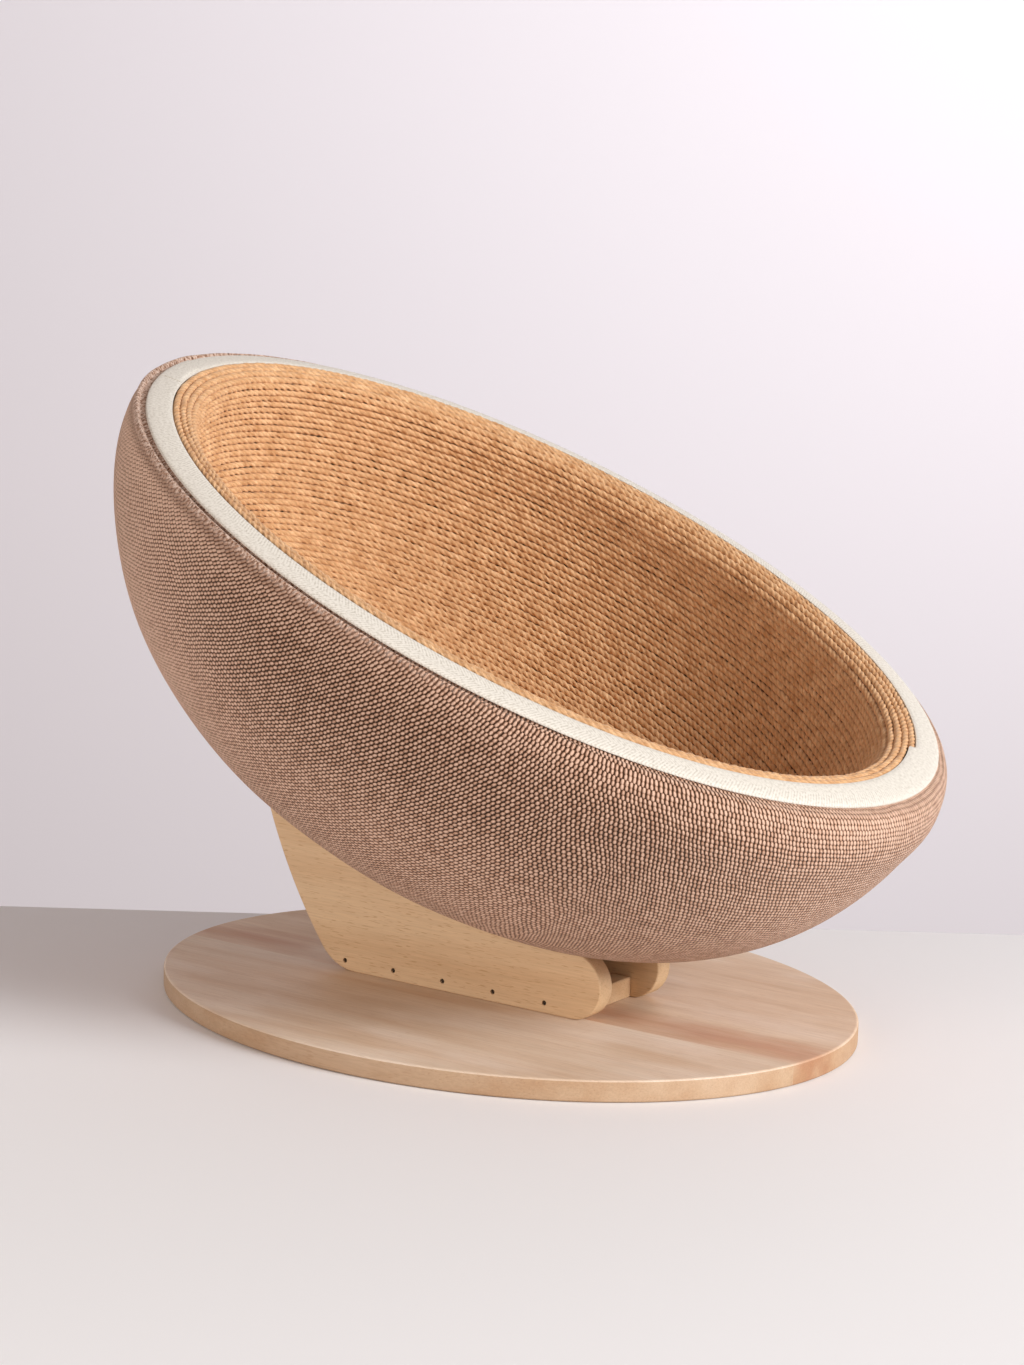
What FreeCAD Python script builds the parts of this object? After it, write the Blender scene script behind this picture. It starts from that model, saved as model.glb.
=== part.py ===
import FreeCAD, Part
import math
import os

from FreeCAD import Rotation, Vector

# Cat bed with scratcher: an oval bowl, covered outside with knit and wound inside
# with rope, lies tilted in a wooden cradle on an oval base board.
# Millimetres. Origin: centre of the base's underside. +Z up, +X to the bowl's low front.

# Base board, two staves glued edge to edge along X
base_length = 430.0
base_width = 334.0
base_thickness = 12.0
base_edge_round = 1.5
stave_joint_y = -31.0

# Cradle: two upright sides nailed to a floor board between them
side_thickness = 12.0
side_heel_x = -96.0
side_heel_radius = 30.0
side_rear_tip_x = -162.0
side_rear_tip_z = 165.0
side_rear_bow = 11.5
side_nose_x = 72.0
side_nose_radius = 19.0
side_crown_x = -30.0
side_crown_rise = 60.0
floor_width = 48.0
floor_thickness = 12.0
floor_rear_x = -97.0
floor_front_x = 72.5

# Brads through the sides into the floor board, heads set below the face
nail_count = 5
nail_first_x = -88.0
nail_pitch = 35.4
nail_shank_diameter = 1.8
nail_head_diameter = 2.8
nail_head_thickness = 1.2
nail_length = 28.0
nail_sink = 1.0
nail_clearance = 0.05

# Countersunk screws from below, through the base into the floor board
screw_rear_x = -62.0
screw_front_x = 40.0
screw_side_y = 13.0
screw_shank_diameter = 4.0
screw_head_diameter = 8.0
screw_length = 19.0
screw_sink = 0.6
screw_drive_width = 2.0
screw_drive_length = 4.4
screw_drive_depth = 1.6
screw_clearance = 0.1

# Bowl, measured from the plane of the band's outer edge
bowl_tilt = 23.8
bowl_centre_x = 17.5
bowl_centre_z = 259.7
bowl_length = 531.0
bowl_width = 411.0
bowl_depth = 184.0
bowl_widest_drop = 22.0
belly_base_power = 2.9
belly_side_power = 1.65
seat_clearance = 0.3

# Layers of the bowl wall
layer_clearance = 0.3
cover_thickness = 2.5
band_end_setback = 9.5
band_side_setback = 6.0
band_width = 14.7
band_rise = 2.6
band_thickness = 1.2
core_top_drop = 4.1
rim_power = 4.0
cover_hem_overlap = 6.0

# Inside of the bowl, at the face of the rope
rim_end_width = 42.5
rim_side_width = 38.5
bottom_wall = 32.0
mouth_widest_drop = 20.0
cavity_base_power = 2.6
cavity_side_power = 1.9

# Rope winding
rope_diameter = 5.5
rope_gap = 0.9
rope_loops = 24
rope_seat = 2.0

# Sections used along a skin
belly_steps = 16
rim_steps = 14
cavity_steps = 16
pole_angle = 1.0

band_outer_length = bowl_length - 2 * band_end_setback
band_outer_width = bowl_width - 2 * band_side_setback
mouth_length = bowl_length - 2 * rim_end_width
mouth_width = bowl_width - 2 * rim_side_width
mouth_depth = bowl_depth - bottom_wall
side_outer_y = floor_width / 2 + side_thickness
nail_z = base_thickness + floor_thickness / 2
bowl_seat = FreeCAD.Placement(
    Vector(bowl_centre_x, 0, bowl_centre_z), Rotation(Vector(0, 1, 0), bowl_tilt)
)


def oval(section):
    """Closed oval wire of one section (half length, half width, height)."""
    half_x, half_y, z = section
    if half_x >= half_y:
        curve = Part.Ellipse(Vector(0, 0, z), half_x, half_y)
    else:
        curve = Part.Ellipse(Vector(0, half_y, z), Vector(-half_x, 0, z), Vector(0, 0, z))
    return Part.Wire([curve.toShape()])


def even_angles(curve, first, last, steps):
    """Angles that cut a curve (across, down) into steps of equal length."""
    fine = 40 * steps
    angles = [first + (last - first) * i / fine for i in range(fine + 1)]
    points = [curve(angle) for angle in angles]
    lengths = [0.0]
    for p, q in zip(points, points[1:]):
        lengths.append(lengths[-1] + math.dist(p, q))
    picked = []
    for i in range(steps + 1):
        target = lengths[-1] * i / steps
        picked.append(angles[min(range(fine + 1), key=lambda k: abs(lengths[k] - target))])
    return picked


def belly_section(angle, grow):
    """Section of the bowl's outside at an angle from the pole (0) to the widest level (90)."""
    turn = math.radians(angle)
    across = max(math.sin(turn), 0.0) ** (2.0 / belly_base_power)
    down = max(math.cos(turn), 0.0) ** (2.0 / belly_side_power)
    return (
        (bowl_length / 2 + grow) * across,
        (bowl_width / 2 + grow) * across,
        -bowl_widest_drop - (bowl_depth - bowl_widest_drop + grow) * down,
    )


def cavity_section(angle, grow):
    """Section of the bowl's inside at an angle from the pole (0) to the widest level (90)."""
    turn = math.radians(angle)
    across = max(math.sin(turn), 0.0) ** (2.0 / cavity_base_power)
    down = max(math.cos(turn), 0.0) ** (2.0 / cavity_side_power)
    return (
        (mouth_length / 2 + grow) * across,
        (mouth_width / 2 + grow) * across,
        -mouth_widest_drop - (mouth_depth - mouth_widest_drop + grow) * down,
    )


def rim_section(angle, grow_out, grow_in, rise):
    """Section over the rim at an angle from the widest level outside (0) to that inside (180)."""
    outer = (bowl_length / 2 + grow_out, bowl_width / 2 + grow_out, -bowl_widest_drop)
    inner = (mouth_length / 2 + grow_in, mouth_width / 2 + grow_in, -mouth_widest_drop)
    turn = math.radians(angle)
    swing = math.copysign(abs(math.cos(turn)) ** (2.0 / rim_power), math.cos(turn))
    lift = max(math.sin(turn), 0.0) ** (2.0 / rim_power)
    share = (1 - swing) / 2
    level = outer[2] + (inner[2] - outer[2]) * share
    return (
        outer[0] + (inner[0] - outer[0]) * share,
        outer[1] + (inner[1] - outer[1]) * share,
        level + (rise - core_top_drop - level) * lift,
    )


def belly(grow):
    """Sections of the bowl's outside from the pole up to its widest level, grown by a thickness."""
    angles = even_angles(lambda a: belly_section(a, 0.0)[1:], pole_angle, 90.0, belly_steps)
    return [belly_section(angle, grow) for angle in angles]


def cavity(grow, first=90.0):
    """Sections of the bowl's inside from an angle down to the pole, grown into the wall."""
    angles = even_angles(lambda a: cavity_section(a, 0.0)[1:], first, pole_angle, cavity_steps)
    return [cavity_section(angle, grow) for angle in angles]


def rim_over(grow_out, grow_in, rise, last=180.0):
    """Sections over the rim, from the widest level outside to an angle."""
    angles = even_angles(lambda a: rim_section(a, 0.0, 0.0, 0.0)[1:], 0.0, last, rim_steps)
    return [rim_section(angle, grow_out, grow_in, rise) for angle in angles]


def faces_between(run):
    """Faces through one run of sections: ruled for two, smooth for more."""
    wires = [oval(section) for section in run]
    return Part.makeLoft(wires, False, len(run) == 2).Faces


def skinned(runs, closed=False):
    """Solid bounded by runs of sections that follow each other, capped at the ends or closed."""
    faces = []
    for run in runs:
        faces += faces_between(run)
    if not closed:
        faces.append(Part.Face(oval(runs[0][0])))
        faces.append(Part.Face(oval(runs[-1][-1])))
    shell = Part.makeShell(faces)
    shell.sewShape(0.001)
    solid = Part.makeSolid(Part.Shell(shell.Faces))
    if solid.Volume < 0:
        solid.reverse()
    return solid


def in_cradle(shape):
    """The bowl's own frame set at its place and tilt."""
    moved = shape.copy()
    moved.Placement = bowl_seat.multiply(moved.Placement)
    return moved


def round_rod(diameter, length, base, direction):
    """Cylinder of a diameter and length."""
    return Part.makeCylinder(diameter / 2, length, base, direction)


def upright_side(outer_face_y, inward):
    """One side of the cradle: heel, bowed rear edge, half-round nose, edge cut to the bowl."""
    heel = Vector(side_heel_x, 0, base_thickness)
    tip = Vector(side_rear_tip_x, 0, side_rear_tip_z)
    toe = Vector(side_nose_x, 0, base_thickness)
    nose = Vector(side_nose_x + side_nose_radius, 0, base_thickness + side_nose_radius)
    brow = Vector(side_nose_x, 0, base_thickness + 2 * side_nose_radius)
    crown = Vector(side_crown_x, 0, base_thickness + 2 * side_nose_radius + side_crown_rise)
    chord = tip - heel
    bow = Vector(-chord.z, 0, chord.x).normalize() * side_rear_bow
    if bow.x > 0:
        bow = bow * -1
    middle = (heel + tip) * 0.5 + bow
    edges = [
        Part.LineSegment(heel, toe).toShape(),
        Part.Arc(toe, nose, brow).toShape(),
        Part.LineSegment(brow, crown).toShape(),
        Part.LineSegment(crown, tip).toShape(),
        Part.Arc(tip, middle, heel).toShape(),
    ]
    face = Part.Face(Part.Wire(edges))
    face.translate(Vector(0, outer_face_y, 0))
    blank = face.extrude(Vector(0, inward * side_thickness, 0))
    heel_edges = []
    for edge in blank.Edges:
        ends = [v.Point for v in edge.Vertexes]
        if all(abs(p.x - heel.x) < 0.01 and abs(p.z - heel.z) < 0.01 for p in ends):
            heel_edges.append(edge)
    return blank.makeFillet(side_heel_radius, heel_edges)


def nail(x, outer_face_y, inward):
    """One brad driven inward, head below the side's face."""
    way = Vector(0, inward, 0)
    start = Vector(x, outer_face_y, nail_z) + way * nail_sink
    head = round_rod(nail_head_diameter, nail_head_thickness, start, way)
    shank = round_rod(nail_shank_diameter, nail_length, start, way)
    return head.fuse(shank).removeSplitter()


def nail_hole(x, outer_face_y, inward):
    """Room for one brad, open at the side's face."""
    way = Vector(0, inward, 0)
    face = Vector(x, outer_face_y, nail_z)
    wide = nail_head_diameter + 2 * nail_clearance
    deep = nail_sink + nail_head_thickness + nail_clearance
    head = round_rod(wide, deep, face, way)
    thin = nail_shank_diameter + 2 * nail_clearance
    shank = round_rod(thin, nail_sink + nail_length + nail_clearance, face, way)
    return head.fuse(shank)


def screw(x, y):
    """One countersunk screw pointing up, with a cross drive in its head."""
    head_height = (screw_head_diameter - screw_shank_diameter) / 2
    seat = Vector(x, y, screw_sink)
    up = Vector(0, 0, 1)
    cone = Part.makeCone(screw_head_diameter / 2, screw_shank_diameter / 2, head_height, seat, up)
    body = cone.fuse(round_rod(screw_shank_diameter, screw_length, seat, up)).removeSplitter()
    for turn in (0, 90):
        slot = Part.makeBox(screw_drive_length, screw_drive_width, screw_drive_depth)
        slot.translate(Vector(-screw_drive_length / 2, -screw_drive_width / 2, 0))
        slot.rotate(Vector(0, 0, 0), up, turn)
        slot.translate(seat)
        body = body.cut(slot)
    return body


def screw_hole(x, y):
    """Room for one screw, open at the base's underside."""
    up = Vector(0, 0, 1)
    head_height = (screw_head_diameter - screw_shank_diameter) / 2
    wide = screw_head_diameter / 2 + screw_clearance
    thin = screw_shank_diameter / 2 + screw_clearance
    mouth = Part.makeCylinder(wide, screw_sink, Vector(x, y, 0), up)
    cone = Part.makeCone(wide, thin, head_height, Vector(x, y, screw_sink), up)
    shank = Part.makeCylinder(thin, screw_sink + screw_length + screw_clearance, Vector(x, y, 0), up)
    return mouth.fuse([cone, shank])


def rope_line():
    """Stations of the rope's centre over the rim and down the wall: distance, section, angle."""
    out = rope_seat + rope_diameter / 2
    grow_out = out - cover_thickness - layer_clearance
    grow_in = rope_diameter + rope_seat - out
    reach = band_width + layer_clearance + rope_diameter / 2
    sections = []
    for angle in range(90, 181):
        section = rim_section(angle, grow_out, grow_in, out)
        if section[0] <= band_outer_length / 2 - reach and section[1] <= band_outer_width / 2 - reach:
            sections.append((section, 90.0))
    for i in range(1, 357):
        angle = 90.0 - i / 4
        sections.append((cavity_section(angle, grow_in), angle))
    stations = []
    distance = 0.0
    for i, (section, angle) in enumerate(sections):
        if i:
            distance += math.dist(section[1:], sections[i - 1][0][1:])
        stations.append((distance, section, angle))
    return stations


def along(stations, distance):
    """Section of a run at a distance from its start, measured at the bowl's side."""
    for before, after in zip(stations, stations[1:]):
        if after[0] >= distance:
            share = (distance - before[0]) / (after[0] - before[0])
            return tuple(p + (q - p) * share for p, q in zip(before[1], after[1]))
    return stations[-1][1]


def winding_points(per_turn):
    """Points of the winding's centre line, evenly spaced in angle."""
    stations = rope_line()
    pitch = rope_diameter + rope_gap
    points = []
    for i in range(rope_loops * per_turn + 1):
        turn = i / per_turn
        half_x, half_y, z = along(stations, turn * pitch)
        angle = 2 * math.pi * turn
        points.append(Vector(half_x * math.cos(angle), half_y * math.sin(angle), z))
    return points


def arc_middle(start, tangent, end):
    """Point halfway along the arc from start to end that leaves along a tangent."""
    chord = end - start
    along_chord = Vector(chord).normalize()
    side = tangent - along_chord * tangent.dot(along_chord)
    half_turn = math.atan2(side.Length, tangent.dot(along_chord))
    return (start + end) * 0.5 + side.normalize() * (chord.Length / 2 * math.tan(half_turn / 2))


def biarc_points(start, leave, end, arrive, reach):
    """Middle, joint and middle of two tangent arcs, the first leaving with a tangent of reach."""
    way = end - start
    rest = way.dot(way) / 2 - reach * way.dot(leave)
    rest = rest / (way.dot(arrive) + reach * (1 - leave.dot(arrive)))
    from_start = start + leave * reach
    from_end = end - arrive * rest
    joint = (from_start * rest + from_end * reach) * (1 / (reach + rest))
    return arc_middle(start, leave, joint), joint, arc_middle(end, arrive * -1, joint)


def outside(points, place):
    """How far a place lies outside a run of points, measured from the bowl's axis."""
    turn = math.atan2(place.y, place.x)
    for p, q in zip(points, points[1:]):
        past = math.remainder(turn - math.atan2(p.y, p.x), 2 * math.pi)
        left = math.remainder(math.atan2(q.y, q.x) - turn, 2 * math.pi)
        if past >= 0 and left > 0:
            share = past / (past + left)
            edge = math.hypot(p.x, p.y) * (1 - share) + math.hypot(q.x, q.y) * share
            return math.hypot(place.x, place.y) - edge
    return 0.0


def biarc_edges(points, leave, arrive):
    """Two tangent arcs along a quarter turn of points, joined on the run of points."""
    start, end = points[0], points[-1]
    chord = (end - start).Length
    low, high = 0.2 * chord, 0.6 * chord
    low_miss = outside(points, biarc_points(start, leave, end, arrive, low)[1])
    for _ in range(30):
        reach = (low + high) / 2
        miss = outside(points, biarc_points(start, leave, end, arrive, reach)[1])
        if miss * low_miss > 0:
            low = reach
        else:
            high = reach
    first, joint, second = biarc_points(start, leave, end, arrive, reach)
    return [Part.Arc(start, first, joint).toShape(), Part.Arc(joint, second, end).toShape()]


def rope_winding():
    """The rope as one unbroken tube, loop beside loop from the band down the wall."""
    fine = 128
    points = winding_points(fine)
    step = fine // 4
    knots = list(range(0, len(points), step))
    tangents = []
    for k in knots:
        before, after = max(k - 1, 0), min(k + 1, len(points) - 1)
        tangents.append((points[after] - points[before]).normalize())
    first = points[0] - tangents[0] * rope_diameter
    last = points[-1] + tangents[-1] * rope_diameter
    edges = [Part.LineSegment(first, points[0]).toShape()]
    for i in range(len(knots) - 1):
        quarter = points[knots[i]:knots[i + 1] + 1]
        edges += biarc_edges(quarter, tangents[i], tangents[i + 1])
    edges.append(Part.LineSegment(points[-1], last).toShape())
    path = Part.Wire(Part.__sortEdges__(edges))
    ring = Part.Circle(first, tangents[0], rope_diameter / 2).toShape()
    pipe = Part.BRepOffsetAPI.MakePipeShell(path)
    pipe.add(Part.Wire([ring]))
    pipe.build()
    pipe.makeSolid()
    tube = pipe.shape()
    centres = path.discretize(rope_loops * fine)
    least = min(
        centres[i].distanceToPoint(centres[j])
        for i in range(0, len(centres), 4)
        for j in range(i + fine // 2, min(i + fine + fine // 2, len(centres)))
    )
    print("rope length %.0f mm, least gap between loops %.2f mm" % (path.Length, least - rope_diameter))
    print("rope volume over section times length %.4f" % (
        tube.Volume / (path.Length * math.pi * rope_diameter ** 2 / 4)))
    return tube


def rope_dish():
    """Bottom of the winding below the last separate loop, as one dish of the rope's thickness."""
    below = rope_loops * (rope_diameter + rope_gap) + rope_diameter / 2 + rope_gap
    first = next(angle for distance, section, angle in rope_line() if distance >= below)
    face = cavity(0.0, first)
    back = cavity(rope_diameter + rope_seat - layer_clearance, first)
    return skinned([back[::-1], [back[0], face[0]], face])


def band():
    """Flat woven band lying over the cover's hem, its inner edge a little higher."""
    outer = (band_outer_length / 2, band_outer_width / 2)
    inner = (outer[0] - band_width, outer[1] - band_width)
    corners = [
        (outer[0], outer[1], -band_thickness),
        (outer[0], outer[1], 0.0),
        (inner[0], inner[1], band_rise),
        (inner[0], inner[1], band_rise - band_thickness),
    ]
    runs = [[corners[i], corners[(i + 1) % 4]] for i in range(4)]
    return skinned(runs, closed=True)


def build():
    """All nodes by name."""
    board = Part.Face(oval((base_length / 2, base_width / 2, 0.0))).extrude(Vector(0, 0, base_thickness))
    board = board.makeFillet(base_edge_round, [e for e in board.Edges if len(e.Vertexes) == 1])
    screw_places = [(x, y) for x in (screw_rear_x, screw_front_x) for y in (-screw_side_y, screw_side_y)]
    for x, y in screw_places:
        board = board.cut(screw_hole(x, y))
    near_part = Part.makeBox(base_length, base_width, base_thickness)
    near_part.translate(Vector(-base_length / 2, stave_joint_y - base_width, 0))
    nodes = {
        "base_stave_near": board.common(near_part),
        "base_stave_far": board.cut(near_part),
    }

    plank = Part.makeBox(floor_front_x - floor_rear_x, floor_width, floor_thickness)
    plank.translate(Vector(floor_rear_x, -floor_width / 2, base_thickness))
    for x, y in screw_places:
        plank = plank.cut(screw_hole(x, y))

    seat_skin = belly(seat_clearance)
    seat_top = (seat_skin[-1][0], seat_skin[-1][1], 0.0)
    seat_body = in_cradle(skinned([seat_skin, [seat_skin[-1], seat_top]]))
    nail_xs = [nail_first_x + i * nail_pitch for i in range(nail_count)]
    for name, face_y, inward in (("near", -side_outer_y, 1), ("far", side_outer_y, -1)):
        side = upright_side(face_y, inward).cut(seat_body)
        for x in nail_xs:
            side = side.cut(nail_hole(x, face_y, inward))
            plank = plank.cut(nail_hole(x, face_y, inward))
        nodes["cradle_side_" + name] = side
        nodes["side_nails_" + name] = Part.makeCompound([nail(x, face_y, inward) for x in nail_xs])
    nodes["cradle_floor"] = plank
    nodes["base_screws"] = Part.makeCompound([screw(x, y) for x, y in screw_places])

    inside = -cover_thickness - layer_clearance
    core = skinned([
        belly(inside),
        rim_over(inside, rope_diameter + rope_seat, 0.0),
        cavity(rope_diameter + rope_seat),
    ])
    hem_y = band_outer_width / 2 - cover_hem_overlap
    hem = next(a for a in range(1, 90) if rim_section(a, 0.0, 0.0, 0.0)[1] <= hem_y)
    outer_turn = rim_over(0.0, rope_diameter + rope_seat, cover_thickness + layer_clearance, hem)
    inner_turn = rim_over(-cover_thickness, rope_diameter + rope_seat, layer_clearance, hem)[::-1]
    cover = skinned([
        belly(0.0),
        outer_turn,
        [outer_turn[-1], inner_turn[0]],
        inner_turn,
        belly(-cover_thickness)[::-1],
    ])
    bowl = {
        "bowl_core": core,
        "knit_cover": cover,
        "rim_band": band(),
        "rope_wall": rope_winding(),
        "rope_floor": rope_dish(),
    }
    for name, shape in bowl.items():
        nodes[name] = in_cradle(shape)
    return nodes


os.makedirs("parts", exist_ok=True)
for node_name, node_shape in build().items():
    node_shape.exportStep(os.path.join("parts", node_name + ".step"))
    print(node_name, "solids", len(node_shape.Solids), "valid", node_shape.isValid(),
          "volume cm3 %.1f" % (node_shape.Volume / 1000))
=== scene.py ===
import logging
import math
from dataclasses import dataclass
from enum import Enum
from functools import partial
from typing import Any, Callable, Sequence

import bmesh
import bpy
import numpy as np
from mathutils import Matrix, Vector, noise


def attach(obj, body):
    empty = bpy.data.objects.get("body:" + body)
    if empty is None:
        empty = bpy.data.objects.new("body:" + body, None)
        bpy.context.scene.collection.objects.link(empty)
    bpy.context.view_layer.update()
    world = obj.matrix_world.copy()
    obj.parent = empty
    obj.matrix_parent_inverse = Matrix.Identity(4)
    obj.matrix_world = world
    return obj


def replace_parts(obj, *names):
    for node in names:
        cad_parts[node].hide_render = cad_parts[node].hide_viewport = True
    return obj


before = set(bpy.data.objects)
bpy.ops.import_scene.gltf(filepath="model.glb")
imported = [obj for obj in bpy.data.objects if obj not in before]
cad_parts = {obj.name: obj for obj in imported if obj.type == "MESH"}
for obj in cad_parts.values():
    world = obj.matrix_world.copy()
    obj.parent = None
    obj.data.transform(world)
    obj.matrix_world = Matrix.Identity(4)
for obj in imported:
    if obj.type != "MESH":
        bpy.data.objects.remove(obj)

log = logging.getLogger("cat_bed")

Section = tuple[float, float, float]
Socket = bpy.types.NodeSocket

FULL_TURN = 2.0 * math.pi
MM_IN_M = 1000.0
# Settings of nodes that mix two colours, and of nodes that change a number gently.
COLOURS = {"data_type": "RGBA", "output": 2}
GENTLE = {"interpolation_type": "SMOOTHSTEP"}


class Body(Enum):
    """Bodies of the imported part."""

    STAND = "stand"
    BOWL = "bowl"


class Axis(Enum):
    """Axes that a board's thickness may lie along."""

    Y = 1
    Z = 2


def metres(millimetres: float) -> float:
    """Turns millimetres to metres."""
    return millimetres / MM_IN_M


def smooth_step(value: float) -> float:
    """Cuts a share off at 0 and 1 and lets it start and end gently."""
    share = min(max(value, 0.0), 1.0)
    return share * share * (3.0 - 2.0 * share)


def linear(code: str) -> tuple[float, float, float, float]:
    """Turns an sRGB hex colour to linear.

    Args:
        code: Colour as six hex digits.

    Returns:
        Linear red, green, blue and an alpha of one.
    """
    parts = [int(code[i:i + 2], 16) / 255.0 for i in (0, 2, 4)]
    shades = [p / 12.92 if p <= 0.04045 else ((p + 0.055) / 1.055) ** 2.4 for p in parts]
    return (shades[0], shades[1], shades[2], 1.0)


def add_node(
    tree: bpy.types.NodeTree,
    kind: str,
    *values: Any,
    inputs: dict[Any, Any] | None = None,
    stops: Sequence[tuple[float, str]] = (),
    output: int | str = 0,
    **settings: Any,
) -> Socket:
    """Adds a shader node with its settings, values and links.

    Args:
        tree: Node tree that takes the node.
        kind: Type name of the node, without its first word.
        values: Value or socket for each of the node's first inputs.
        inputs: Value or socket for further inputs, by name or number.
        stops: Place and hex colour of each stop of a colour ramp, in order.
        output: Output that is wanted, by name or number.
        settings: Properties of the node itself.

    Returns:
        The wanted output.
    """
    node = tree.nodes.new("ShaderNode" + kind)
    for name, value in settings.items():
        setattr(node, name, value)
    for key, value in {**dict(enumerate(values)), **(inputs or {})}.items():
        if isinstance(value, Socket):
            tree.links.new(value, node.inputs[key])
        else:
            node.inputs[key].default_value = value
    if stops:
        marks = node.color_ramp.elements
        while len(marks) < len(stops):
            marks.new(0.5)
        for mark, (place, code) in zip(marks, stops):
            mark.position = place
            mark.color = linear(code)
    return node.outputs[output]


def new_material(name: str) -> tuple[bpy.types.Material, bpy.types.NodeTree]:
    """Starts a node material.

    Args:
        name: Name of the finish.

    Returns:
        The material and its node tree.
    """
    material = bpy.data.materials.new(name)
    material.use_nodes = True
    return material, material.node_tree


def dress_surface(tree: bpy.types.NodeTree, colour: Socket, relief: Socket, **constants: Any) -> None:
    """Gives a material's surface shader its colour, its relief and what is the same all over.

    Args:
        tree: Node tree of the material.
        colour: Colour of the surface.
        relief: Normal of the surface.
        constants: Value of each further input, named with _ for a space.
    """
    shader = tree.nodes["Principled BSDF"]
    tree.links.new(colour, shader.inputs["Base Color"])
    tree.links.new(relief, shader.inputs["Normal"])
    for name, value in constants.items():
        shader.inputs[name.replace("_", " ")].default_value = value


@dataclass(frozen=True)
class Streaks:
    """Streaks in wood: width, scale along the grain as a share of that across it, and finer detail."""

    width_mm: float
    along: float
    detail: float


@dataclass(frozen=True)
class BoardWood:
    """Rubberwood board, planed and oiled: pale, with short dark pores and soft growth bands.

    The pores are some 6 mm long and lie along the grain, which is X. Real ones are finer than
    the 0.55 mm that they are drawn wide, to show. The growth bands are some 14 mm apart and
    wander, and bleached clouds lie across them. A reddish blush may follow one line of the
    grain. Oil leaves a dull satin surface.
    """

    name: str
    pale: str
    middle: str
    deep: str
    seed: float
    pore_share: float = 0.45
    bleach_share: float = 0.0
    shaded_edge_below_mm: float = 0.0
    blush: str | None = None
    blush_middle_y_mm: float = 0.0
    blush_half_width_mm: float = 30.0
    blush_wander_mm: float = 46.0
    blush_share: float = 0.9
    bands: Streaks = Streaks(width_mm=14.0, along=0.08, detail=4.0)
    fibres: Streaks = Streaks(width_mm=0.9, along=0.03, detail=2.0)
    pores: Streaks = Streaks(width_mm=0.55, along=0.09, detail=0.0)
    clouds: Streaks = Streaks(width_mm=38.0, along=0.35, detail=3.0)
    ragged: float = 0.55
    bleach: str = "F3E4D4"
    edge_shade_tone: str = "D8C8B6"
    fibre_tone: str = "D8D4D0"
    fibre_share: float = 0.4
    pore_depth: float = 0.6
    relief_mm: float = 0.12
    relief_strength: float = 0.35
    roughness: float = 0.58
    ior: float = 1.47

    def material(self) -> bpy.types.Material:
        """Builds the finish on Object coordinates.

        Returns:
            The material.
        """
        material, tree = new_material(self.name)
        add = partial(add_node, tree)
        place = add("TexCoord", output="Object")

        def level(streaks: Streaks) -> Socket:
            """Noise drawn out along the grain.

            Args:
                streaks: Its size.

            Returns:
                Level of the noise.
            """
            drawn = add("Mapping", place, inputs={
                "Location": (self.seed, self.seed * 0.7, self.seed * 1.3),
                "Scale": (streaks.along, 1.0, 1.0)})
            return add("TexNoise", drawn, inputs={
                "Scale": 1.0 / metres(streaks.width_mm),
                "Detail": streaks.detail,
                "Roughness": self.ragged})

        bands, fibres, pores, clouds = map(level, (self.bands, self.fibres, self.pores, self.clouds))
        colour = add("ValToRGB", bands, stops=((0.3, self.middle), (0.62, self.pale)))
        bleached = add("MapRange", clouds, 0.45, 0.66, 0.0, self.bleach_share)
        colour = add("Mix", bleached, inputs={6: colour, 7: linear(self.bleach)}, **COLOURS)
        if self.blush:
            depth = add("SeparateXYZ", place, output="Y")
            wander = add("Math", bands, metres(self.blush_wander_mm), depth, operation="MULTIPLY_ADD")
            line = metres(self.blush_middle_y_mm + self.blush_wander_mm / 2)
            away = add("Math", add("Math", wander, line, operation="SUBTRACT"), operation="ABSOLUTE")
            share = add(
                "MapRange", away, 0.0, metres(self.blush_half_width_mm), self.blush_share, 0.0, **GENTLE)
            patch = add("MapRange", clouds, 0.4, 0.62, 0.8, 0.05)
            share = add("Math", share, patch, operation="MULTIPLY")
            colour = add("Mix", share, inputs={6: colour, 7: linear(self.blush)}, **COLOURS)
        tone = add("ValToRGB", fibres, stops=((0.28, self.fibre_tone), (0.7, "FFFFFF")))
        colour = add(
            "Mix", self.fibre_share, inputs={6: colour, 7: tone}, blend_type="MULTIPLY", **COLOURS)
        open_pore = add("MapRange", pores, 0.67, 0.76, 0.0, self.pore_share)
        colour = add("Mix", open_pore, inputs={6: colour, 7: linear(self.deep)}, **COLOURS)
        # Painted shade: the board's side faces, below its top, are painted darker.
        height = add("SeparateXYZ", place, output="Z")
        at_shaded_edge = add("Math", height, metres(self.shaded_edge_below_mm), operation="LESS_THAN")
        colour = add(
            "Mix", at_shaded_edge, inputs={6: colour, 7: linear(self.edge_shade_tone)}, blend_type="MULTIPLY", **COLOURS)
        heights = add("Math", open_pore, -self.pore_depth, fibres, operation="MULTIPLY_ADD")
        relief = add("Bump", inputs={
            "Strength": self.relief_strength, "Distance": metres(self.relief_mm), "Height": heights})
        dress_surface(tree, colour, relief, Roughness=self.roughness, IOR=self.ior)
        return material


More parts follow.
